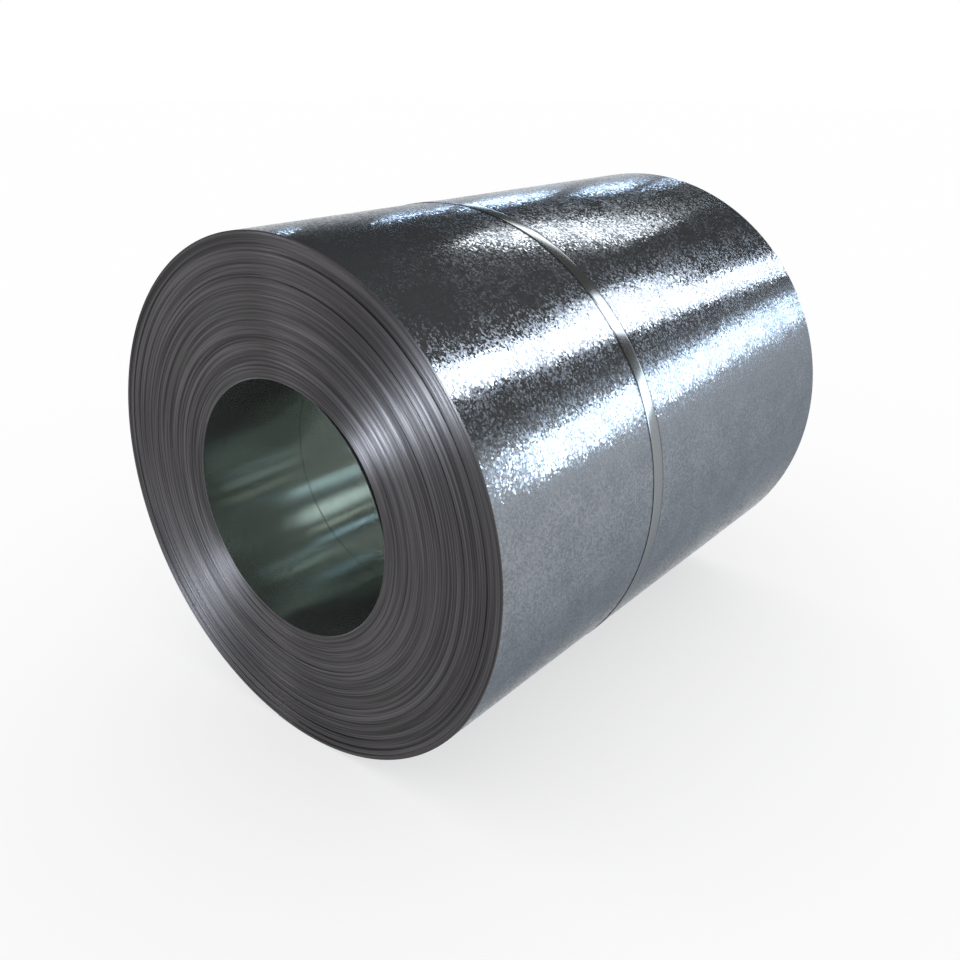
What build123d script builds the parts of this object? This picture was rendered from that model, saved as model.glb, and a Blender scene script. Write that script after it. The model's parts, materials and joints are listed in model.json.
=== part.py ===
"""Coil of hot-dip galvanised steel strip, lying on its side with one steel strap round it.

Lengths are in millimetres and angles in degrees. +Z is up, +Y runs along the coil's axis away from its
front end, and the origin is on the floor under the middle of the coil. Angles round the axis are counted
from +X towards +Z.
"""

import math
import os

from build123d import *

# Wound strip
strip_width = 1250.0
strip_thickness = 1.0
bore_diameter = 508.0
coil_diameter = 1030.0
tail_angle = -100.0

# Groups of turns from the bore outwards. The first number is the group's share of the wound depth, and the
# second is its share of the weave, which is how far the turns wander along the axis as the strip is wound.
edge_weave = 3.0
turn_group_shares = (
    (0.10, 0.10),
    (0.09, -0.15),
    (0.10, 0.20),
    (0.05, -0.35),
    (0.16, 0.05),
    (0.09, 0.30),
    (0.10, -0.20),
    (0.04, 0.45),
    (0.05, -0.05),
    (0.06, 0.25),
    (0.03, -0.50),
    (0.05, 0.50),
    (0.05, -0.10),
    (0.03, -0.40),
)

# Innermost turn: it stands off the next one between two angles
loose_gap = 5.0
loose_start_angle = 5.0
loose_end_angle = 67.0

# Strap and its crimped seal
strap_width = 32.0
strap_thickness = 0.9
strap_from_front = 466.0
strap_overlap = 110.0
seal_length = 57.0
seal_thickness = 1.0
seal_angle = 150.0
crimp_count = 2
crimp_pitch = 26.0
crimp_width = 9.0
crimp_depth = 3.0

# Shared by all sketches: half a turn in degrees, and how far cutting shapes run past what they cut
half_turn = 180.0
cut_overrun = 5.0

# Places that follow from the sizes
bore_radius = bore_diameter / 2
coil_radius = coil_diameter / 2
axis_height = coil_radius + strap_thickness
front_end = -strip_width / 2
rear_end = strip_width / 2
strap_rear = front_end + strap_from_front + strap_width
lap_thickness = 2 * strap_thickness
coil_axis = Axis((0, 0, axis_height), (0, 1, 0))
half_step = strip_thickness / 2
second_centre = (-half_step, 0)
second_radius = coil_radius - half_step


def direction(angle):
    """Unit vector across the axis at an angle."""
    return Vector(math.cos(math.radians(angle)), 0, math.sin(math.radians(angle)))


def section_plane(y):
    """Plane across the axis at y, with its local X through the tail and its normal towards the front."""
    return Plane(origin=(0, y, axis_height), x_dir=direction(tail_angle), z_dir=(0, -1, 0))


def outer_turn():
    """Outline of the wound strip: two half circles that differ by one thickness, and the step of the tail."""
    CenterArc((0, 0), coil_radius, 0, half_turn)
    CenterArc(second_centre, second_radius, half_turn, half_turn)
    Line((coil_radius - strip_thickness, 0), (coil_radius, 0))


def band_at_seal(length, inner_height, outer_height):
    """Outline of a curved band on the second half circle, with the seal's middle as its own middle."""
    arc = math.degrees(length / coil_radius)
    start = seal_angle - tail_angle - arc / 2
    inner = CenterArc(second_centre, second_radius + inner_height, start, arc)
    outer = CenterArc(second_centre, second_radius + outer_height, start, arc)
    Line(inner @ 0, outer @ 0)
    Line(inner @ 1, outer @ 1)


def gap_at_loose_turn():
    """Outline of the thin crescent between the innermost turn and the next one."""
    radius = bore_radius + strip_thickness
    turn = CenterArc((0, 0), radius, loose_start_angle - tail_angle, loose_end_angle - loose_start_angle)
    crown = (turn @ 0.5) * (1 + loose_gap / radius)
    ThreePointArc(turn @ 0, crown, turn @ 1)


def end_steps():
    """Outline of half the long section, with the radius along X and the place on the axis along Y."""
    wound_depth = coil_radius - bore_radius
    front = []
    rear = []
    radius = bore_radius
    for depth_share, weave_share in turn_group_shares:
        outer_radius = radius + wound_depth * depth_share
        shift = edge_weave * weave_share
        front += [(radius, front_end + shift), (outer_radius, front_end + shift)]
        rear += [(radius, rear_end + shift), (outer_radius, rear_end + shift)]
        radius = outer_radius
    clear_radius = coil_radius + cut_overrun
    front[-1] = (clear_radius, front_end + shift)
    rear[-1] = (clear_radius, rear_end + shift)
    return front + rear[::-1]


# Coil: the outer turn ends in a tail underneath, the groups of turns stand in and out on both ends, and the
# innermost turn has sprung loose along its whole width
with BuildPart() as coil:
    with BuildSketch(section_plane(rear_end + edge_weave)) as wound_section:
        with BuildLine():
            outer_turn()
        make_face()
    extrude(amount=strip_width + 2 * edge_weave)
    with BuildSketch(Plane.XY.offset(axis_height)) as long_section:
        with BuildLine():
            Polyline(*end_steps(), close=True)
        make_face()
    revolve(axis=coil_axis, mode=Mode.INTERSECT)
    with BuildSketch(section_plane(rear_end + edge_weave)) as loose_section:
        with BuildLine():
            gap_at_loose_turn()
        make_face()
    extrude(amount=strip_width + 2 * edge_weave, mode=Mode.SUBTRACT)
coil.part.label = "coil"

# Line of the strap's inner face: pulled tight round the coil, so it spans the step at the tail straight
with BuildSketch(section_plane(strap_rear)) as pulled_line:
    with BuildLine():
        outer_turn()
    make_hull()

# Tools of the crimp: notches down both sides of the seal, pressed through the seal and both layers of strap
seal_place = (direction(seal_angle) * coil_radius) + Vector(0, strap_rear - strap_width / 2, axis_height)
seal_half_width = strap_width / 2 + seal_thickness
with BuildPart() as crimp_tools:
    with BuildSketch(Plane(origin=seal_place, x_dir=(0, 1, 0), z_dir=direction(seal_angle))):
        with GridLocations(2 * seal_half_width, crimp_pitch, 2, crimp_count):
            Ellipse(crimp_depth, crimp_width / 2)
    extrude(amount=lap_thickness + cut_overrun, both=True)

# Strap: one loop, with its ends lapped under the seal
with BuildPart() as strap:
    with BuildSketch(section_plane(strap_rear)):
        add(pulled_line.sketch_local)
        offset(amount=strap_thickness)
        add(pulled_line.sketch_local, mode=Mode.SUBTRACT)
    extrude(amount=strap_width)
    with BuildSketch(section_plane(strap_rear)):
        with BuildLine():
            band_at_seal(strap_overlap, strap_thickness / 2, lap_thickness)
        make_face()
    extrude(amount=strap_width)
    add(crimp_tools.part, mode=Mode.SUBTRACT)
strap.part.label = "strap"

# Seal: a steel sleeve folded over the lap, curved to the coil and crimped
with BuildPart() as strap_seal:
    with BuildSketch(section_plane(strap_rear + seal_thickness)):
        with BuildLine():
            band_at_seal(seal_length, 0, lap_thickness + seal_thickness)
        make_face()
    extrude(amount=strap_width + 2 * seal_thickness)
    with BuildSketch(section_plane(strap_rear)):
        with BuildLine():
            band_at_seal(strap_overlap, -cut_overrun, lap_thickness)
        make_face()
    extrude(amount=strap_width, mode=Mode.SUBTRACT)
    add(crimp_tools.part, mode=Mode.SUBTRACT)
strap_seal.part.label = "strap_seal"

os.makedirs("parts", exist_ok=True)
export_step(coil.part, "parts/coil.step")
export_step(strap.part, "parts/strap.step")
export_step(strap_seal.part, "parts/strap_seal.step")
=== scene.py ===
"""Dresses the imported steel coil: wound galvanised strip, steel strap and crimped seal, in a pale studio.

Everything is in metres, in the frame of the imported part: +Y runs along the coil's axis away from its front
end, +Z is up, and angles round the axis are counted from +X towards +Z.
"""

import json
import math

import bpy
import numpy as np
from bpy.props import FloatProperty, FloatVectorProperty, IntProperty, PointerProperty
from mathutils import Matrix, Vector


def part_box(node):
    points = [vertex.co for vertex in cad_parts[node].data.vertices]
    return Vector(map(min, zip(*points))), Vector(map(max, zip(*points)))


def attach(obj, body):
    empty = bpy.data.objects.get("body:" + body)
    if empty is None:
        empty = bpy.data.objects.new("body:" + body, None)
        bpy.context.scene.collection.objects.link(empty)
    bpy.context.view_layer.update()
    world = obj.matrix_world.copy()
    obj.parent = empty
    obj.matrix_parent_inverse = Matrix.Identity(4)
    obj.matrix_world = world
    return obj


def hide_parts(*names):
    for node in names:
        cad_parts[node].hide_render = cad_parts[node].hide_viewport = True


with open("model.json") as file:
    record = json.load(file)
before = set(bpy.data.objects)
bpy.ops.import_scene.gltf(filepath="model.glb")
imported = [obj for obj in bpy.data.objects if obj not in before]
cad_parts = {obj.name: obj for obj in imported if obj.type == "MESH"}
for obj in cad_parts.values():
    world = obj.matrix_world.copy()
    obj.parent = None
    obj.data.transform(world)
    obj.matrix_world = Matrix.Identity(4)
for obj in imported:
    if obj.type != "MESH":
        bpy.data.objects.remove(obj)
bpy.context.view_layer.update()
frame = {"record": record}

bl_info = {
    "name": "Galvanised steel coil",
    "version": (1, 0, 0),
    "blender": (4, 5, 0),
    "location": "View3D > Sidebar > Steel coil",
    "description": "Winds a coil of galvanised strip, straps it and sets it on a studio floor",
    "category": "Add Mesh",
}

MM = 0.001
FULL_TURN = 2 * np.pi

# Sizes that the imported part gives
mounts = {mount["name"]: mount for mount in frame["record"]["mounts"]}
bore = mounts["bore"]
coil_low, coil_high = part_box("coil")
strap_low, strap_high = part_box("strap")
axis_height = bore["pos_m"][2]
strip_width = bore["dims"]["length_mm"] * MM
weave = coil_high.y - coil_low.y - strip_width
strap_middle = (strap_low.y + strap_high.y) / 2

# Groups of turns from the bore outwards: share of the wound depth, and share of the weave
TURN_GROUP_SHARES = (
    (0.10, 0.10),
    (0.09, -0.15),
    (0.10, 0.20),
    (0.05, -0.35),
    (0.16, 0.05),
    (0.09, 0.30),
    (0.10, -0.20),
    (0.04, 0.45),
    (0.05, -0.05),
    (0.06, 0.25),
    (0.03, -0.50),
    (0.05, 0.50),
    (0.05, -0.10),
    (0.03, -0.40),
)

# Bands of turns: least and most depth as shares of the mean, and the share of a band that slopes at each
# of its edges
WINDING_SEED = 7
BAND_SPREAD = (0.6, 1.4)
BAND_SLOPE = 0.06

# How a band lies sideways: share of its group's weave, its waves to a turn, and the size of each wave as a
# share of the turns' stray
GROUP_WEAVE = 0.6
SWAY_WAVES = (1, 2, 3)
SWAY_SHARE = 0.4

# Both ends of the strip: the angle over which a step of one thickness rises
STEP_ANGLE = np.radians(0.02)

# Loose turn: how far it springs in and how far the gap behind it opens, as shares of the loose gap, and
# the share of the loose gap from which it is at its full depth
SPRING_IN = 1.1
GAP_OPENS = 1.6
GAP_DEEP_FROM = 0.3

# Groove between the innermost turn and the next where they lie tight
GROOVE_WIDTH = 0.3 * MM
GROOVE_DEPTH = 0.5 * MM

# Outside of the coil: rows of points, and its swells as waves to a turn and wavelength along the axis
SKIN_ROWS = 40
SWELLS = ((2, 900 * MM), (3, 520 * MM), (5, 380 * MM), (8, 300 * MM), (11, 640 * MM))

# Bore: rows of points behind and before its seam, the seam's depth, the places of its lips in halves of
# its width, and how much of its half width is sunk
BORE_ROWS_BEHIND = 20
BORE_ROWS_BEFORE = 6
SEAM_DEPTH = 0.25 * MM
SEAM_LIPS = (3, 1, 0.5, -0.5, -1, -3)
SEAM_SUNK = 0.7

# Strap: points along it and round its section, the power that gathers them at its edges, and the share of
# the thickness that its shoulders drop by, with the power that keeps its back flat
STRAP_ROWS = 720
STRAP_COLUMNS = 28
EDGE_POWER = 0.2
SHOULDER_DROP = 0.5
SHOULDER_POWER = 8

# Seal: points along it, round its corners and over its top, its outer bend, how far in from the edge a
# crimp dents it, in crimp depths, and how far the top sinks as a share of the dent
SEAL_ROWS = 61
CORNER_POINTS = 5
TOP_POINTS = 11
SEAL_CORNER = 1.2 * MM
DENT_REACH = 2.5
CRIMP_SAG = 0.35

# Edges that turn by more than this stay sharp
SHARP_FROM = math.radians(30)

# Finishes of the wound strip, in the order of its materials
SPANGLED, SLIT, OILED = range(3)

# Hot-dip spangle is 1 to 4 mm wide, and this is about the finest that shows in the picture. The power
# keeps all but the dullest crystals smooth.
SPANGLE_GRAIN = 3.6 * MM
MATT_POWER = 1.8

# Turns are 1 mm thick and too fine to show, so the rings on the slit ends are drawn coarser, in two sizes
FINE_RINGS = 4.2 * MM
WIDE_RINGS = 15 * MM

# Roll marks lie closer than 1 mm and are too fine to show, so the steel's streaks are drawn coarser
STREAK_WIDTH = 2.5 * MM
STREAKS_PER_METRE = 6

# Painted shade and grime beside the strap, where it stands on the zinc: distance from its edges and half
# width. Any such darker line is darkest over the core's share of its half width.
SHADE_AND_GRIME_OFFSET = 2.0 * MM
SHADE_AND_GRIME_HALF_WIDTH = 3.5 * MM
SHADE_AND_GRIME_CORE = 0.4

# Zinc and steel at a grazing angle: a thin oxide film keeps them from going white as clean metal does
OXIDE_FILM = "#B8BCC0"

# Sockets of a Mix node by number, because those for colours and for numbers share their names
COLOUR_A, COLOUR_B, COLOUR_OUT = 6, 7, 2
NUMBER_A, NUMBER_B, NUMBER_OUT = 2, 3, 0

WHITE = (1, 1, 1, 1)
MID_COLOUR = (0.5, 0.5, 0.5)

# Floor: how far it reaches, and the share of even white that keeps it pale where it is shown
FLOOR_REACH = 40.0
FLOOR_GLOW = 0.6
SENSOR_WIDTH = 36

# Softboxes on an arch round the axis: name, angle on the arch, place and length along Y, width, lean,
# brightness and colour. The short ones are oval.
ARCH_RADIUS = 1.75
OVAL_BELOW = 1.6
SOFTBOXES = (
    ("right_low", 19.2, 2.25, 2.90, 0.46, 9.8, 5.2, "#DCEFFF"),
    ("right_high", 50.5, 1.60, 4.40, 0.36, 0, 6.2, "#F2F8FF"),
    ("right_window", 60, 1.90, 0.95, 0.32, 0, 5.0, "#F2F8FF"),
    ("left_high", 101.5, 2.00, 1.50, 0.42, -26, 6.0, "#FFFDF8"),
    ("left_rear_high", 128.5, -1.50, 3.20, 0.26, 0, 6.0, "#FFFFFF"),
    ("left_low_1", 146, 0.65, 0.14, 0.08, 0, 9.0, "#D0E6FF"),
    ("left_low_2", 143, 1.24, 0.28, 0.12, 0, 9.0, "#D0E6FF"),
    ("left_low_3", 143.5, 1.47, 0.20, 0.10, 0, 9.0, "#D0E6FF"),
    ("left_low_4", 142, 1.95, 0.70, 0.27, -4, 9.0, "#D0E6FF"),
    ("left_low_5", 136, 2.73, 0.60, 0.25, -10, 9.0, "#D0E6FF"),
    ("left_low_6", 130, 3.25, 0.40, 0.14, -10, 9.0, "#D0E6FF"),
)

# Strip lights before both ends, for the slit edges: name, place, length, width, slope and brightness
STRIP_COLOUR = "#DFEBF5"
STRIPS = (
    ("front_strip", (-0.066, -2.9, 0.91), 1.67, 0.25, 40, 48.0),
    ("rear_strip", (0.066, 2.9, 0.91), 1.67, 0.25, 140, 40.0),
)


def linear(hex_colour):
    """Scene-linear red, green and blue of an sRGB hex colour."""
    values = [int(hex_colour[i:i + 2], 16) / 255 for i in (1, 3, 5)]
    return tuple(v / 12.92 if v <= 0.04045 else ((v + 0.055) / 1.055) ** 2.4 for v in values)


def length(name, description, default):
    """Settings of a length property in metres."""
    return dict(name=name, description=description, default=default, precision=4,
                subtype="DISTANCE", unit="LENGTH")


def angle(name, description, degrees):
    """Settings of an angle property."""
    return dict(name=name, description=description, default=math.radians(degrees),
                subtype="ANGLE", unit="ROTATION")


def colour(name, description, hex_colour):
    """Settings of a colour property."""
    return dict(name=name, description=description, default=linear(hex_colour), subtype="COLOR", size=3)


class WoundStripSettings(bpy.types.PropertyGroup):
    """Sizes of the wound strip."""

    coil_radius: FloatProperty(**length("Coil radius", "Radius over the outermost turn", coil_high.x))
    bore_radius: FloatProperty(**length(
        "Bore radius", "Radius inside the innermost turn", bore["dims"]["r_mm"] * MM))
    width: FloatProperty(**length("Strip width", "Width of the strip from edge to edge", strip_width))
    thickness: FloatProperty(**length("Strip thickness", "Thickness of the strip", 1.0 * MM))
    edge_weave: FloatProperty(**length("Edge weave", "How far groups of turns wander sideways", weave))
    turn_stray: FloatProperty(**length(
        "Turn stray", "How far single turns stray in their group", 0.20 * MM))
    # Single turns are too fine to show, so a few of them together make one level band
    turn_band: FloatProperty(**length("Turn band", "Depth of the turns that lie level together", 3.6 * MM))
    tail_angle: FloatProperty(**angle("Tail", "Where the outer end of the strip lies", -100))
    head_angle: FloatProperty(**angle("Head", "Where the inner end of the strip lies", 223))
    loose_gap: FloatProperty(**length("Loose gap", "How far the innermost turn stands off", 5.0 * MM))
    loose_start: FloatProperty(**angle("Loose from", "Where the innermost turn leaves the next", 5))
    loose_end: FloatProperty(**angle("Loose to", "Where the innermost turn meets the next again", 67))
    loose_depth: FloatProperty(**length(
        "Loose depth", "How deep the gap at the loose turn shows", 260 * MM))
    swell: FloatProperty(**length("Swell", "How far the outside swells and sinks", 0.22 * MM))
    seam_from_front: FloatProperty(**length("Bore seam", "Place of the seam inside the bore", 253 * MM))
    seam_width: FloatProperty(**length("Seam width", "Width of the seam inside the bore", 1.6 * MM))
    columns: IntProperty(name="Columns", description="Divisions round the coil", default=260)


class StrapSettings(bpy.types.PropertyGroup):
    """Sizes of the strap and its seal."""

    width: FloatProperty(**length("Strap width", "Width of the strap", strap_high.y - strap_low.y))
    thickness: FloatProperty(**length(
        "Strap thickness", "Thickness of the strap", strap_high.x - coil_high.x))
    overlap: FloatProperty(**length("Overlap", "Length over which the ends lap", 110 * MM))
    ramp: FloatProperty(**length("Ramp", "Length over which the upper end climbs on the lower", 24 * MM))
    seal_angle: FloatProperty(**angle("Seal", "Where the seal sits", 150))
    seal_length: FloatProperty(**length("Seal length", "Length of the seal along the strap", 57 * MM))
    seal_thickness: FloatProperty(**length("Seal thickness", "Thickness of the seal's steel", 1.0 * MM))
    crimp_pitch: FloatProperty(**length("Crimp pitch", "Distance between the two crimps", 26 * MM))
    crimp_width: FloatProperty(**length("Crimp width", "Length of one crimp along the strap", 9 * MM))
    crimp_depth: FloatProperty(**length("Crimp depth", "How far a crimp presses the edge in", 3 * MM))


class FinishSettings(bpy.types.PropertyGroup):
    """Colours of the finishes."""

    bright_zinc: FloatVectorProperty(**colour("Bright zinc", "Zinc crystals that mirror", "#989DA4"))
    dull_zinc: FloatVectorProperty(**colour("Dull zinc", "Zinc crystals that scatter", "#7C8188"))
    oiled_zinc: FloatVectorProperty(**colour("Oiled zinc", "Zinc under oil inside the bore", "#B5BBB7"))
    slit_light: FloatVectorProperty(**colour("Slit edge, light", "Freshly sheared turns", "#636163"))
    slit_dark: FloatVectorProperty(**colour("Slit edge, dark", "Turns with a film of rust", "#3A383A"))
    strap_steel: FloatVectorProperty(**colour("Strap steel", "Rolled strapping steel", "#999DA0"))
    seal_steel: FloatVectorProperty(**colour("Seal steel", "Pressed steel of the seal", "#77797B"))


class StudioSettings(bpy.types.PropertyGroup):
    """Camera, floor and backdrop."""

    camera_place: FloatVectorProperty(
        name="Camera", description="Where the camera stands", default=(1.3022, -1.6481, 1.2743),
        subtype="TRANSLATION", unit="LENGTH", size=3)
    camera_turn: FloatProperty(**angle("Turn", "How far the camera is turned left from +Y", 39.2068))
    camera_tilt: FloatProperty(**angle("Tilt", "How far the camera looks down", 23.2544))
    camera_lens: FloatProperty(
        name="Lens", description="Focal length on a 36 mm sensor", default=35.646,
        subtype="DISTANCE_CAMERA", unit="CAMERA")
    floor_colour: FloatVectorProperty(**colour("Floor", "Pale studio floor", "#FDFDFD"))
    ceiling_colour: FloatVectorProperty(**colour("Ceiling", "Dim studio ceiling", "#6E6C68"))
    wall_top: FloatProperty(**angle("Wall top", "How high above the horizon the wall is white", 6))
    ceiling_from: FloatProperty(**angle("Ceiling from", "How high the ceiling's own shade begins", 21))


def add_node(tree, kind, inputs=None, **settings):
    """Adds a node, sets its properties, and sets or links each named or numbered input."""
    made = tree.nodes.new(kind)
    for key, value in settings.items():
        setattr(made, key, value)
    for key, value in (inputs or {}).items():
        if isinstance(value, bpy.types.NodeSocket):
            tree.links.new(value, made.inputs[key])
        else:
            made.inputs[key].default_value = value
    return made


def new_material(name):
    """A material with an empty node tree and its output node."""
    material = bpy.data.materials.new(name)
    material.use_nodes = True
    tree = material.node_tree
    tree.nodes.clear()
    return material, tree, add_node(tree, "ShaderNodeOutputMaterial")


def opaque(rgb, share=1.0):
    """A share of a colour, with full alpha."""
    return (*(share * value for value in rgb), 1.0)


def crystal_pattern(tree, patch):
    """Place, random colour of each zinc crystal, and how dull each crystal is from 0 to 1.

    Crystals are the cells round scattered points, about one grain apart. Fine noise bends the place by up
    to a quarter of a grain, so their borders are ragged. A crystal is dull where its own random number and
    a cloudy noise add up to much, so dull crystals gather in patches.
    """
    place = add_node(tree, "ShaderNodeTexCoord").outputs["Object"]
    ragged = add_node(
        tree, "ShaderNodeTexNoise", {"Vector": place, "Scale": 2 / SPANGLE_GRAIN, "Detail": 1.0})
    stray = add_node(
        tree, "ShaderNodeVectorMath", {0: ragged.outputs["Color"], 1: MID_COLOUR}, operation="SUBTRACT")
    bend = 0.5 * SPANGLE_GRAIN
    bent = add_node(
        tree, "ShaderNodeVectorMath", {0: stray.outputs["Vector"], 1: (bend, bend, bend), 2: place},
        operation="MULTIPLY_ADD")
    cells = add_node(
        tree, "ShaderNodeTexVoronoi", {"Vector": bent.outputs["Vector"], "Scale": 1 / SPANGLE_GRAIN})
    clouds = add_node(tree, "ShaderNodeTexNoise", {"Vector": place, "Scale": 1 / patch, "Detail": 3.0})
    split = add_node(tree, "ShaderNodeSeparateColor", {"Color": cells.outputs["Color"]})
    added = add_node(
        tree, "ShaderNodeMath", {0: split.outputs["Red"], 1: clouds.outputs["Fac"]}, operation="ADD")
    dull = add_node(
        tree, "ShaderNodeMapRange", {"Value": added.outputs["Value"], "From Min": 0.45, "From Max": 1.45})
    return place, cells.outputs["Color"], dull.outputs["Result"]


def tilted_normal(tree, random_colour, tilt):
    """Surface normal leaned in each crystal's own direction, by up to half the tilt along each axis."""
    normal = add_node(tree, "ShaderNodeNewGeometry").outputs["Normal"]
    centred = add_node(
        tree, "ShaderNodeVectorMath", {0: random_colour, 1: MID_COLOUR}, operation="SUBTRACT")
    leaned = add_node(
        tree, "ShaderNodeVectorMath", {0: centred.outputs["Vector"], 1: (tilt, tilt, tilt), 2: normal},
        operation="MULTIPLY_ADD")
    unit = add_node(tree, "ShaderNodeVectorMath", {0: leaned.outputs["Vector"]}, operation="NORMALIZE")
    return unit.outputs["Vector"]


def shade_and_grime_line(tree, place, at, half_width, depth):
    """Brightness round a line across the axis: lower by the depth on it, full past its half width."""
    # A darker line of painted shade: beside the strap it is also grime, in the bore's seam it is shade only
    along = add_node(tree, "ShaderNodeSeparateXYZ", {"Vector": place}).outputs["Y"]
    offset = add_node(tree, "ShaderNodeMath", {0: along, 1: at}, operation="SUBTRACT")
    away = add_node(tree, "ShaderNodeMath", {0: offset.outputs["Value"]}, operation="ABSOLUTE")
    clean = add_node(tree, "ShaderNodeMapRange", {
        "Value": away.outputs["Value"], "From Min": SHADE_AND_GRIME_CORE * half_width, "From Max": half_width,
        "To Min": 1 - depth})
    return clean.outputs["Result"]


def spangled_zinc(finish):
    """Hot-dip zinc on the coil's outside, with painted shade and grime in a line on each side of the strap.
    """
    # To the eye it is frozen crystals, some like mirrors and some dull: a mirrored lamp has a bright core
    # and a border that breaks up into sparkle, and clouds of dull crystals dapple the skin beside it
    material, tree, output = new_material("hot_dip_zinc_spangled")
    place, crystal_colour, dull = crystal_pattern(tree, patch=70 * MM)
    tone = add_node(
        tree, "ShaderNodeMix",
        {"Factor": dull, COLOUR_A: opaque(finish.bright_zinc), COLOUR_B: opaque(finish.dull_zinc)},
        data_type="RGBA")
    # Painted shade and grime: a darker line on the zinc beside each edge of the strap
    before = shade_and_grime_line(tree, place, strap_low.y - SHADE_AND_GRIME_OFFSET, SHADE_AND_GRIME_HALF_WIDTH, depth=0.5)
    behind = shade_and_grime_line(tree, place, strap_high.y + SHADE_AND_GRIME_OFFSET, SHADE_AND_GRIME_HALF_WIDTH, depth=0.4)
    both = add_node(tree, "ShaderNodeMath", {0: before, 1: behind}, operation="MULTIPLY")
    shaded_tone = add_node(
        tree, "ShaderNodeVectorMath", {0: tone.outputs[COLOUR_OUT], "Scale": both.outputs["Value"]},
        operation="SCALE")
    matt = add_node(tree, "ShaderNodeMath", {0: dull, 1: MATT_POWER}, operation="POWER")
    rough = add_node(
        tree, "ShaderNodeMapRange", {"Value": matt.outputs["Value"], "To Min": 0.04, "To Max": 0.31})
    shader = add_node(tree, "ShaderNodeBsdfPrincipled", {
        "Base Color": shaded_tone.outputs["Vector"], "Metallic": 1.0, "Roughness": rough.outputs["Result"],
        "Normal": tilted_normal(tree, crystal_colour, tilt=0.06),
        "Specular Tint": opaque(linear(OXIDE_FILM))})
    tree.links.new(shader.outputs["BSDF"], output.inputs["Surface"])
    return material


def oiled_zinc(finish, seam_from_front):
    """The same zinc inside the bore under a film of rolling oil, with painted shade in the seam."""
    # To the eye the oil fills the spangle: an even greenish grey that mirrors lamps as long soft streaks
    material, tree, output = new_material("hot_dip_zinc_oiled")
    place, crystal_colour, dull = crystal_pattern(tree, patch=90 * MM)
    tone = add_node(
        tree, "ShaderNodeMix",
        {"Factor": dull, COLOUR_A: opaque(finish.oiled_zinc), COLOUR_B: opaque(finish.oiled_zinc, 0.92)},
        data_type="RGBA")
    # Painted shade: a darker line along the seam's groove
    seam = shade_and_grime_line(tree, place, -strip_width / 2 + seam_from_front, half_width=2.0 * MM, depth=0.5)
    shaded_tone = add_node(
        tree, "ShaderNodeVectorMath", {0: tone.outputs[COLOUR_OUT], "Scale": seam}, operation="SCALE")
    rough = add_node(tree, "ShaderNodeMapRange", {"Value": dull, "To Min": 0.075, "To Max": 0.14})
    shader = add_node(tree, "ShaderNodeBsdfPrincipled", {
        "Base Color": shaded_tone.outputs["Vector"], "Metallic": 0.94, "Roughness": rough.outputs["Result"],
        "Normal": tilted_normal(tree, crystal_colour, tilt=0.005)})
    tree.links.new(shader.outputs["BSDF"], output.inputs["Surface"])
    return material


def slit_edges(finish):
    """Sheared steel edges of the turns: noise in rings round the axis, which also leans each ring."""
    # To the eye it is dark grey rings, some fresh and some filmed with rust, and the grooves between them
    # stretch a lamp into a fan of light across the rings, on both sides of the bore
    material, tree, output = new_material("slit_steel_edges")
    place = add_node(tree, "ShaderNodeTexCoord").outputs["Object"]
    from_axis = add_node(
        tree, "ShaderNodeVectorMath", {0: place, 1: (0, 0, -axis_height)}, operation="ADD")
    across = add_node(
        tree, "ShaderNodeVectorMath", {0: from_axis.outputs["Vector"], 1: (1, 0, 1)}, operation="MULTIPLY")
    radius = add_node(tree, "ShaderNodeVectorMath", {0: across.outputs["Vector"]}, operation="LENGTH")
    outward = add_node(tree, "ShaderNodeVectorMath", {0: across.outputs["Vector"]}, operation="NORMALIZE")
    rings = []
    for spacing, drift in ((FINE_RINGS, 1.0), (WIDE_RINGS, 0.4)):
        turns = add_node(
            tree, "ShaderNodeMath", {0: radius.outputs["Value"], 1: spacing}, operation="DIVIDE")
        along = add_node(tree, "ShaderNodeCombineXYZ", {"Y": turns.outputs["Value"]})
        spread = add_node(
            tree, "ShaderNodeVectorMath",
            {0: outward.outputs["Vector"], 1: (drift, drift, drift), 2: along.outputs["Vector"]},
            operation="MULTIPLY_ADD")
        noise = add_node(tree, "ShaderNodeTexNoise", {
            "Vector": spread.outputs["Vector"], "Scale": 1.0, "Detail": 2.0, "Roughness": 0.6})
        rings.append(noise.outputs["Fac"])
    both = add_node(
        tree, "ShaderNodeMix", {"Factor": 0.25, NUMBER_A: rings[0], NUMBER_B: rings[1]}, data_type="FLOAT")
    shade = add_node(
        tree, "ShaderNodeMapRange",
        {"Value": both.outputs[NUMBER_OUT], "From Min": 0.35, "From Max": 0.68},
        interpolation_type="SMOOTHSTEP")
    tone = add_node(
        tree, "ShaderNodeMix",
        {"Factor": shade.outputs["Result"], COLOUR_A: opaque(finish.slit_dark),
         COLOUR_B: opaque(finish.slit_light)},
        data_type="RGBA")
    lean = add_node(tree, "ShaderNodeMapRange", {
        "Value": rings[0], "From Min": 0.25, "From Max": 0.75, "To Min": -0.3, "To Max": 0.3})
    push = add_node(
        tree, "ShaderNodeVectorMath", {0: outward.outputs["Vector"], "Scale": lean.outputs["Result"]},
        operation="SCALE")
    normal = add_node(tree, "ShaderNodeNewGeometry").outputs["Normal"]
    leaned = add_node(
        tree, "ShaderNodeVectorMath", {0: normal, 1: push.outputs["Vector"]}, operation="ADD")
    facing = add_node(tree, "ShaderNodeVectorMath", {0: leaned.outputs["Vector"]}, operation="NORMALIZE")
    round_axis = add_node(tree, "ShaderNodeTangent", direction_type="RADIAL", axis="Y")
    shader = add_node(tree, "ShaderNodeBsdfPrincipled", {
        "Base Color": tone.outputs[COLOUR_OUT], "Metallic": 1.0, "Roughness": 0.42,
        "Anisotropic": 0.96, "Anisotropic Rotation": 0.25, "Tangent": round_axis.outputs["Tangent"],
        "Normal": facing.outputs["Vector"]})
    tree.links.new(shader.outputs["BSDF"], output.inputs["Surface"])
    return material


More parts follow.
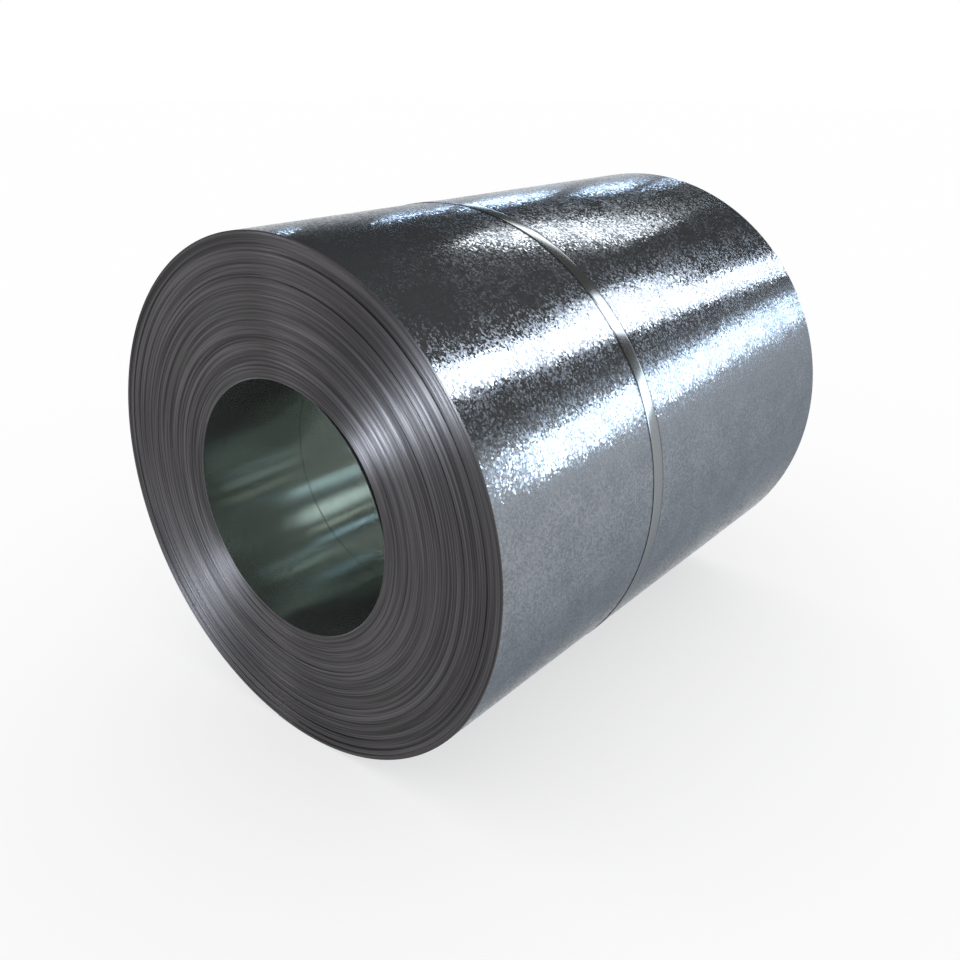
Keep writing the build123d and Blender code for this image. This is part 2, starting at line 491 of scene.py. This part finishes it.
def rolled_steel(name, steel, smoothest, mattest):
    """Cold-rolled steel: noise stretched along the strap, which darkens and dulls it in streaks."""
    # To the eye it is a plain grey band with faint streaks along it: satin on the strap, where the rolls
    # left it smooth, and dull on the seal, which was pressed into shape
    material, tree, output = new_material(name)
    place = add_node(tree, "ShaderNodeTexCoord").outputs["Object"]
    stretch = add_node(tree, "ShaderNodeMapping", {
        "Vector": place, "Scale": (STREAKS_PER_METRE, 1 / STREAK_WIDTH, STREAKS_PER_METRE)})
    streaks = add_node(
        tree, "ShaderNodeTexNoise", {"Vector": stretch.outputs["Vector"], "Scale": 1.0, "Detail": 3.0})
    tone = add_node(
        tree, "ShaderNodeMix",
        {"Factor": streaks.outputs["Fac"], COLOUR_A: opaque(steel, 0.75), COLOUR_B: opaque(steel)},
        data_type="RGBA")
    rough = add_node(
        tree, "ShaderNodeMapRange",
        {"Value": streaks.outputs["Fac"], "To Min": mattest, "To Max": smoothest})
    shader = add_node(tree, "ShaderNodeBsdfPrincipled", {
        "Base Color": tone.outputs[COLOUR_OUT], "Metallic": 1.0, "Roughness": rough.outputs["Result"],
        "Specular Tint": opaque(linear(OXIDE_FILM))})
    tree.links.new(shader.outputs["BSDF"], output.inputs["Surface"])
    return material


def grid_faces(rows, columns, close_rows, close_columns):
    """Four corners of each face of a grid of points, going round at the end where it is closed."""
    row = np.arange(rows if close_rows else rows - 1)[:, None]
    column = np.arange(columns if close_columns else columns - 1)[None, :]
    below = (row + 1) % rows
    beside = (column + 1) % columns
    corners = (
        row * columns + column,
        below * columns + column,
        below * columns + beside,
        row * columns + beside,
    )
    return np.stack(np.broadcast_arrays(*corners), axis=-1).reshape(-1, 4)


def capped(points):
    """Faces of a tube of closed sections, with one face across each end."""
    rows, columns = points.shape[:2]
    sides = grid_faces(rows, columns, False, True).tolist()
    last = (rows - 1) * columns
    return sides + [list(range(columns)), list(range(last, last + columns))[::-1]]


def add_piece(name, points, faces, materials, face_materials=None):
    """A mesh object at the origin, smooth apart from its sharp edges, riding on the coil's one body."""
    mesh = bpy.data.meshes.new(name)
    mesh.from_pydata(points.reshape(-1, 3), [], faces)
    for material in materials:
        mesh.materials.append(material)
    if face_materials is not None:
        mesh.polygons.foreach_set("material_index", face_materials.astype(np.int32))
    mesh.shade_smooth()
    mesh.set_sharp_from_angle(angle=SHARP_FROM)
    piece = bpy.data.objects.new(name, mesh)
    bpy.context.scene.collection.objects.link(piece)
    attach(piece, "root")
    return piece


def around_axis(radius, theta, y):
    """Points at a radius and an angle round the coil's axis, and a place along it."""
    x = radius * np.cos(theta)
    z = axis_height + radius * np.sin(theta)
    return np.stack(np.broadcast_arrays(x, y, z), axis=-1)


def outer_radius(theta, strip):
    """Radius over the outermost turn: half a circle at full size, then one that sinks by one thickness.

    The second half circle is half a thickness smaller, and its centre lies half a thickness off the axis,
    away from the tail.
    """
    past_tail = np.mod(theta - strip.tail_angle, FULL_TURN)
    half = strip.thickness / 2
    chord = np.sqrt((strip.coil_radius - half) ** 2 - (half * np.sin(past_tail)) ** 2)
    return np.where(past_tail < np.pi, strip.coil_radius, chord - half * np.cos(past_tail))


def strap_line(theta, strip):
    """Radius of the strap's inner face: the outer turn, and a straight span down from the tail's step.

    The span is the tangent from the tail to the second half circle. Its limit of one radian only keeps the
    values finite where the span isn't used.
    """
    half = strip.thickness / 2
    centre_to_tail = strip.coil_radius + half
    touch = np.arccos((strip.coil_radius - half) / centre_to_tail)
    before_tail = FULL_TURN - np.mod(theta - strip.tail_angle, FULL_TURN)
    distance = strip.coil_radius - half - half * np.cos(touch)
    span = distance / np.cos(np.minimum(np.abs(before_tail - touch), 1.0))
    return np.where(before_tail < touch, span, outer_radius(theta, strip))


def loose_crescent(theta, strip):
    """Gap at the innermost turn: a parabola over the angle, full in its middle and zero past its ends."""
    half_angle = (strip.loose_end - strip.loose_start) / 2
    middle = (strip.loose_end + strip.loose_start) / 2
    away = np.mod(theta - middle + np.pi, FULL_TURN) - np.pi
    return strip.loose_gap * np.clip(1 - (away / half_angle) ** 2, 0, None)


def angles_round(strip):
    """Angles of the columns: even steps from the tail round, and a close pair at each end of the strip."""
    even = strip.tail_angle + np.linspace(0, FULL_TURN, strip.columns, endpoint=False)
    before_tail = strip.tail_angle + FULL_TURN - STEP_ANGLE
    steps = np.array([before_tail, strip.head_angle, strip.head_angle - STEP_ANGLE])
    past_tail = np.mod(np.concatenate([even, steps]) - strip.tail_angle, FULL_TURN)
    return strip.tail_angle + np.sort(past_tail)


def turn_bands(strip, random):
    """Bounds of the level bands as shares of the wound depth, and the weave of each band's group.

    Each group is cut into bands of uneven random depth, as many as the depth of a band fits into it.
    """
    bounds = np.cumsum([0.0] + [share for share, _ in TURN_GROUP_SHARES])
    depth = strip.coil_radius - strip.bore_radius
    cuts = []
    weaves = []
    for low, high, (_, weave_share) in zip(bounds[:-1], bounds[1:], TURN_GROUP_SHARES):
        count = max(1, round((high - low) * depth / strip.turn_band))
        steps = np.cumsum(random.uniform(*BAND_SPREAD, count))
        cuts.append(low + (high - low) * np.concatenate([[0.0], steps[:-1]]) / steps[-1])
        weaves.append(np.full(count, weave_share))
    return np.append(np.concatenate(cuts), 1.0), np.concatenate(weaves)


def band_edges(cuts):
    """Inner and outer edge of each band's level part as shares of the wound depth, one after the other."""
    slope = BAND_SLOPE * np.diff(cuts)[:, None]
    edges = np.concatenate([cuts[:-1, None] + slope, cuts[1:, None] - slope], axis=1)
    edges[0, 0] = 0.0
    edges[-1, 1] = 1.0
    return edges.reshape(-1, 1)


def band_shifts(weaves, theta, strip, random):
    """Shifts of the bands along the axis: their group's weave, their own stray, and slow waves round."""
    bands = len(weaves)
    stray = random.normal(0, strip.turn_stray, (bands, 1))
    for waves in SWAY_WAVES:
        phase = random.uniform(0, FULL_TURN, (bands, 1))
        sway = random.normal(0, SWAY_SHARE * strip.turn_stray, (bands, 1))
        stray = stray + sway * np.cos(waves * theta + phase)
    limit = strip.edge_weave / 2
    return np.clip(GROUP_WEAVE * weaves[:, None] * strip.edge_weave + stray, -limit, limit)


def swelling_skin(outside, stations, y, theta, strip, random):
    """Radius of the coil's outside: the outer turn, sunk by slow waves that fade out at both ends.

    Each wave is a cosine of the angle times a cosine of the place along the axis, at random phases.
    """
    swell = np.zeros_like(y + theta)
    for waves, wavelength in SWELLS:
        phase = random.uniform(0, FULL_TURN, 2)
        swell += np.cos(waves * theta + phase[0]) * np.cos(FULL_TURN * y / wavelength + phase[1]) / 2
    sunk = swell / np.abs(swell).max() - 1
    return outside + strip.swell * sunk * np.sin(np.pi * stations) ** 0.5


def bore_rows(front, rear, strip):
    """Places along the bore from rear to front, close together at the seam, and how far each is sunk."""
    seam = front + strip.seam_from_front
    seam_half = strip.seam_width / 2
    behind = np.linspace(rear, seam, BORE_ROWS_BEHIND + 2)[1:-1]
    lips = seam + seam_half * np.array(SEAM_LIPS)
    before = np.linspace(seam, front, BORE_ROWS_BEFORE + 2)[1:-1]
    y = np.concatenate([behind, lips, before])[:, None]
    return y, SEAM_DEPTH * (np.abs(y - seam) < SEAM_SUNK * seam_half)


def wound_strip(strip):
    """Rows and columns of points over the whole coil, and the finish of each face.

    A row follows the coil round, and a column is one closed section: up the front end over the innermost
    turn, the gap behind it and the level bands, back along the outside, down the rear end and forward
    through the bore. The bore's radius drops evenly by one thickness over the innermost turn and steps
    back at the strip's head. Both ends shift by the same weave, because the strip has one width.
    """
    random = np.random.default_rng(WINDING_SEED)
    theta = angles_round(strip)
    all_round = np.zeros_like(theta)
    front = -strip.width / 2
    rear = strip.width / 2

    crescent = loose_crescent(theta, strip)
    after_head = np.mod(theta - strip.head_angle, FULL_TURN) / FULL_TURN
    inside = strip.bore_radius + strip.thickness * (1 - after_head) - SPRING_IN * crescent
    turn_outside = inside + strip.thickness
    pack_inside = turn_outside + GROOVE_WIDTH + GAP_OPENS * crescent
    outside = outer_radius(theta, strip)

    cuts, weaves = turn_bands(strip, random)
    shift = band_shifts(weaves, theta, strip, random)
    ring_radius = pack_inside + band_edges(cuts) * (outside - pack_inside)
    ring_shift = np.repeat(shift, 2, axis=0)

    first = shift[0]
    gap = GROOVE_DEPTH + strip.loose_depth * np.clip(crescent / (GAP_DEEP_FROM * strip.loose_gap), 0, 1)
    lip_radius = np.stack([inside, turn_outside, turn_outside, pack_inside])
    lip_front = front + first + np.stack([all_round, all_round, gap, gap])
    lip_rear = rear + first - np.stack([all_round, all_round, gap, gap])

    stations = np.linspace(0, 1, SKIN_ROWS + 2)[1:-1, None]
    y_skin = (front + ring_shift[-1]) * (1 - stations) + (rear + ring_shift[-1]) * stations
    skin = swelling_skin(outside, stations, y_skin, theta, strip, random)
    y_bore, sunk = bore_rows(front, rear, strip)
    wall = inside + sunk

    radius = np.concatenate([lip_radius, ring_radius, skin, ring_radius[::-1], lip_radius[::-1], wall])
    y = np.concatenate([
        lip_front, front + ring_shift, y_skin,
        rear + ring_shift[::-1], lip_rear[::-1], y_bore + all_round])

    # A row's faces reach to the next row, so the last row of an end already has the finish that follows.
    # The two walls and the bottom of the gap at the innermost turn are zinc.
    end_rows = len(lip_radius) + len(ring_radius)
    bore_from = 2 * end_rows + len(skin)
    row_finish = np.full(len(radius), SLIT)
    row_finish[end_rows - 1:end_rows + len(skin)] = SPANGLED
    row_finish[bore_from - 1:] = OILED
    gap_rows = np.array([1, 2, 3])
    row_finish[gap_rows] = OILED
    row_finish[bore_from - 2 - gap_rows] = OILED
    return around_axis(radius, theta, y), np.repeat(row_finish, len(theta))


class STEELCOIL_OT_wind_strip(bpy.types.Operator):
    """Winds the galvanised strip into its coil"""

    bl_idname = "steelcoil.wind_strip"
    bl_label = "Wind strip"

    def execute(self, context):
        strip = context.scene.wound_strip
        finish = context.scene.coil_finish
        points, face_finish = wound_strip(strip)
        faces = grid_faces(*points.shape[:2], True, True)
        materials = [spangled_zinc(finish), slit_edges(finish), oiled_zinc(finish, strip.seam_from_front)]
        piece = add_piece("wound_strip", points, faces, materials, face_finish)
        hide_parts("coil")
        return {"FINISHED"}


def pressed_in(along, across, strap):
    """How far the crimps press a point of strap or seal towards the middle line.

    It is a bell along the strap at each crimp, times a ramp across it that ends at the seal's edge.
    """
    edge = strap.width / 2 + strap.seal_thickness
    dent = DENT_REACH * strap.crimp_depth
    bells = np.exp(-((np.abs(along) - strap.crimp_pitch / 2) / (strap.crimp_width / 2)) ** 2)
    near_edge = np.clip((np.abs(across) - edge + dent) / dent, 0, 1)
    return np.sign(across) * strap.crimp_depth * bells * near_edge


def strap_surface(strip, strap):
    """Points of the strap: one section carried round the coil, with its end lapped over its start.

    The section's place across is a cosine to a small power, so points gather at the edges. Its underside
    is flat, and its back drops by a high power of the place across, so it is flat with round shoulders. A
    smooth step lifts the last stretch by one thickness, and the crimps press the edges in at the seal.
    """
    lap = strap.overlap / strip.coil_radius
    start = strap.seal_angle - lap / 2
    theta = np.linspace(start, start + FULL_TURN + lap, STRAP_ROWS)[:, None]
    climb = np.clip(((theta - start - FULL_TURN) * strip.coil_radius + strap.ramp) / strap.ramp, 0, 1)
    lift = strap.thickness * climb * climb * (3 - 2 * climb)
    turn = np.linspace(0, FULL_TURN, STRAP_COLUMNS, endpoint=False)[None, :]
    across = strap.width / 2 * np.sign(np.cos(turn)) * np.abs(np.cos(turn)) ** EDGE_POWER
    crown = 1 - SHOULDER_DROP * (2 * across / strap.width) ** SHOULDER_POWER
    height = strap.thickness * np.clip(np.sign(np.sin(turn)) * crown, 0, None)
    from_seal = np.mod(theta - strap.seal_angle + np.pi, FULL_TURN) - np.pi
    pressed = pressed_in(from_seal * strip.coil_radius, across, strap)
    radius = strap_line(theta, strip) + lift + height
    return around_axis(radius, theta, strap_middle + (across - pressed))


class STEELCOIL_OT_tension_strap(bpy.types.Operator):
    """Pulls the steel strap round the coil and laps its ends"""

    bl_idname = "steelcoil.tension_strap"
    bl_label = "Tension strap"

    def execute(self, context):
        points = strap_surface(context.scene.wound_strip, context.scene.coil_strap)
        finish = context.scene.coil_finish
        steel = rolled_steel("cold_rolled_strapping", finish.strap_steel, smoothest=0.09, mattest=0.20)
        piece = add_piece("steel_strap", points, capped(points), [steel])
        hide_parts("strap")
        return {"FINISHED"}


def seal_surface(strip, strap):
    """Points of the seal: a folded sleeve as one closed section, carried along the strap.

    The section goes round the right corner in a quarter circle, over the flat top, round the left corner
    and back along the inside. The crimps press its sides in and draw its top down by a share of that.
    """
    half = strap.width / 2 + strap.seal_thickness
    top = 2 * strap.thickness + strap.seal_thickness
    inner = half - strap.seal_thickness
    under = top - strap.seal_thickness
    bend = np.linspace(0, np.pi / 2, CORNER_POINTS)
    bend_across = half - SEAL_CORNER + SEAL_CORNER * np.cos(bend)
    bend_up = top - SEAL_CORNER + SEAL_CORNER * np.sin(bend)
    right_side = np.stack([bend_across, bend_up], axis=-1)
    left_side = right_side[::-1] * (-1, 1)
    flat_across = np.linspace(half - SEAL_CORNER, SEAL_CORNER - half, TOP_POINTS + 2)[1:-1]
    flat = np.stack([flat_across, np.full(TOP_POINTS, top)], axis=-1)
    inside = np.array([
        (-half, 0), (-inner, 0), (-inner, under), (0, under), (inner, under), (inner, 0), (half, 0)])
    section = np.concatenate([right_side, flat, left_side, inside])[None, :, :]
    along = np.linspace(-strap.seal_length / 2, strap.seal_length / 2, SEAL_ROWS)[:, None]
    pressed = pressed_in(along, section[..., 0], strap)
    height = np.clip(section[..., 1] - CRIMP_SAG * np.abs(pressed), 0, None)
    theta = strap.seal_angle + along / strip.coil_radius
    radius = strap_line(theta, strip) + height
    return around_axis(radius, theta, strap_middle + (section[..., 0] - pressed))


class STEELCOIL_OT_crimp_seal(bpy.types.Operator):
    """Folds the steel seal over the lapped ends of the strap and crimps it"""

    bl_idname = "steelcoil.crimp_seal"
    bl_label = "Crimp seal"

    def execute(self, context):
        points = seal_surface(context.scene.wound_strip, context.scene.coil_strap)
        finish = context.scene.coil_finish
        steel = rolled_steel("pressed_seal_steel", finish.seal_steel, smoothest=0.26, mattest=0.42)
        piece = add_piece("strap_seal_sleeve", points, capped(points), [steel])
        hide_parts("strap_seal")
        return {"FINISHED"}


def shown_rays(tree):
    """One for rays from the camera and for rays that metal and glass send on, and zero for others."""
    path = add_node(tree, "ShaderNodeLightPath").outputs
    mirrored = add_node(
        tree, "ShaderNodeMath", {0: path["Is Glossy Ray"], 1: path["Is Transmission Ray"]},
        operation="MAXIMUM")
    shown = add_node(
        tree, "ShaderNodeMath", {0: path["Is Camera Ray"], 1: mirrored.outputs["Value"]},
        operation="MAXIMUM")
    return shown.outputs["Value"]


def pale_floor(studio):
    """Matt white paint on the floor, with a share of even white where it is shown."""
    # To the eye it is near white and without gloss, so it runs into the wall and keeps the coil's shadow
    material, tree, output = new_material("matt_white_floor")
    matt = add_node(tree, "ShaderNodeBsdfDiffuse", {"Color": opaque(studio.floor_colour)})
    glow = add_node(tree, "ShaderNodeEmission", {"Color": WHITE, "Strength": 1.0})
    share = add_node(tree, "ShaderNodeMath", {0: shown_rays(tree), 1: FLOOR_GLOW}, operation="MULTIPLY")
    mix = add_node(tree, "ShaderNodeMixShader", {
        0: share.outputs["Value"], 1: matt.outputs["BSDF"], 2: glow.outputs["Emission"]})
    tree.links.new(mix.outputs["Shader"], output.inputs["Surface"])
    return material


def backdrop_colour(tree, studio):
    """White wall round the studio up to a low height, which fades into a dim ceiling."""
    direction = add_node(tree, "ShaderNodeTexCoord").outputs["Generated"]
    height = add_node(tree, "ShaderNodeSeparateXYZ", {"Vector": direction}).outputs["Z"]
    low = math.sin(studio.wall_top)
    high = math.sin(studio.ceiling_from)
    fade = add_node(
        tree, "ShaderNodeMapRange", {"Value": height, "From Min": low, "From Max": high},
        interpolation_type="SMOOTHSTEP")
    wall = add_node(
        tree, "ShaderNodeMix",
        {"Factor": fade.outputs["Result"], COLOUR_A: WHITE, COLOUR_B: opaque(studio.ceiling_colour)},
        data_type="RGBA")
    return wall.outputs[COLOUR_OUT]


def add_stage(name, points, faces, material):
    """A piece of the stage."""
    mesh = bpy.data.meshes.new(name)
    mesh.from_pydata(points, [], faces)
    mesh.materials.append(material)
    piece = bpy.data.objects.new(name, mesh)
    bpy.context.scene.collection.objects.link(piece)


def add_lamp(name, place, turn, sizes, brightness, hex_colour):
    """A lamp of even brightness over its area, which lights the metal and not the matt floor."""
    oval = max(sizes) < OVAL_BELOW
    data = bpy.data.lights.new(name, "AREA")
    data.shape = "ELLIPSE" if oval else "RECTANGLE"
    data.size, data.size_y = sizes
    data.color = linear(hex_colour)
    area = sizes[0] * sizes[1] * (math.pi / 4 if oval else 1)
    data.energy = brightness * math.pi * area
    lamp = bpy.data.objects.new(name, data)
    lamp.location = place
    lamp.rotation_euler = turn
    lamp.visible_camera = False
    lamp.visible_diffuse = False
    bpy.context.scene.collection.objects.link(lamp)
    return lamp


def add_lamps():
    """Softboxes that face the axis from the arch, and a strip light that faces each end of the coil."""
    for name, degrees, place, size, width, lean, brightness, hex_colour in SOFTBOXES:
        around = math.radians(degrees)
        spot = (ARCH_RADIUS * math.cos(around), place, axis_height + ARCH_RADIUS * math.sin(around))
        turn = (0, math.pi / 2 - around, 0)
        lamp = add_lamp(name, spot, turn, (width, size), brightness, hex_colour)
        lamp.rotation_euler.rotate_axis("Z", math.radians(lean))
    for name, spot, size, width, slope, brightness in STRIPS:
        turn = (math.copysign(math.pi / 2, -spot[1]), -math.radians(slope), 0)
        add_lamp(name, spot, turn, (size, width), brightness, STRIP_COLOUR)


def studio_world(studio):
    """World of soft white light, with the wall and ceiling for the rays that show them."""
    world = bpy.data.worlds.new("soft_studio")
    world.use_nodes = True
    tree = world.node_tree
    tree.nodes.clear()
    soft = add_node(tree, "ShaderNodeBackground", {"Color": WHITE, "Strength": 1.0})
    shown = add_node(
        tree, "ShaderNodeBackground", {"Color": backdrop_colour(tree, studio), "Strength": 1.0})
    mix = add_node(tree, "ShaderNodeMixShader", {
        0: shown_rays(tree), 1: soft.outputs["Background"], 2: shown.outputs["Background"]})
    add_node(tree, "ShaderNodeOutputWorld", {"Surface": mix.outputs["Shader"]})
    return world


def studio_camera(studio):
    """Camera at the photograph's viewing angle."""
    data = bpy.data.cameras.new("photo_camera")
    data.lens = studio.camera_lens
    data.sensor_width = SENSOR_WIDTH
    camera = bpy.data.objects.new("photo_camera", data)
    camera.location = studio.camera_place
    camera.rotation_euler = (math.pi / 2 - studio.camera_tilt, 0, studio.camera_turn)
    bpy.context.scene.collection.objects.link(camera)
    return camera


class STEELCOIL_OT_set_stage(bpy.types.Operator):
    """Sets the floor, the lamps, the backdrop and the camera"""

    bl_idname = "steelcoil.set_stage"
    bl_label = "Set stage"

    def execute(self, context):
        studio = context.scene.coil_studio
        corners = FLOOR_REACH * np.array([(-1, -1, 0), (1, -1, 0), (1, 1, 0), (-1, 1, 0)])
        add_stage("floor", corners, [(0, 1, 2, 3)], pale_floor(studio))
        add_lamps()
        context.scene.world = studio_world(studio)
        context.scene.camera = studio_camera(studio)
        context.scene.view_settings.view_transform = "Standard"
        return {"FINISHED"}


class STEELCOIL_PT_panel(bpy.types.Panel):
    """Lists the steps that make the coil and its stage"""

    bl_idname = "STEELCOIL_PT_panel"
    bl_label = "Steel coil"
    bl_space_type = "VIEW_3D"
    bl_region_type = "UI"
    bl_category = "Steel coil"

    def draw(self, context):
        for step in STEPS:
            self.layout.operator(step.bl_idname)


STEPS = (
    STEELCOIL_OT_wind_strip,
    STEELCOIL_OT_tension_strap,
    STEELCOIL_OT_crimp_seal,
    STEELCOIL_OT_set_stage,
)
GROUPS = {
    "wound_strip": WoundStripSettings,
    "coil_strap": StrapSettings,
    "coil_finish": FinishSettings,
    "coil_studio": StudioSettings,
}


def register():
    """Registers the classes and hangs the settings on the scene."""
    for kind in (*GROUPS.values(), *STEPS, STEELCOIL_PT_panel):
        bpy.utils.register_class(kind)
    for name, kind in GROUPS.items():
        setattr(bpy.types.Scene, name, PointerProperty(type=kind))


def unregister():
    """Takes the settings and the classes away again."""
    for name in GROUPS:
        delattr(bpy.types.Scene, name)
    for kind in (STEELCOIL_PT_panel, *STEPS[::-1], *list(GROUPS.values())[::-1]):
        bpy.utils.unregister_class(kind)


def main():
    """Registers the add-on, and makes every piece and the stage."""
    register()
    bpy.ops.steelcoil.wind_strip()
    bpy.ops.steelcoil.tension_strap()
    bpy.ops.steelcoil.crimp_seal()
    bpy.ops.steelcoil.set_stage()


if __name__ == "__main__":
    main()
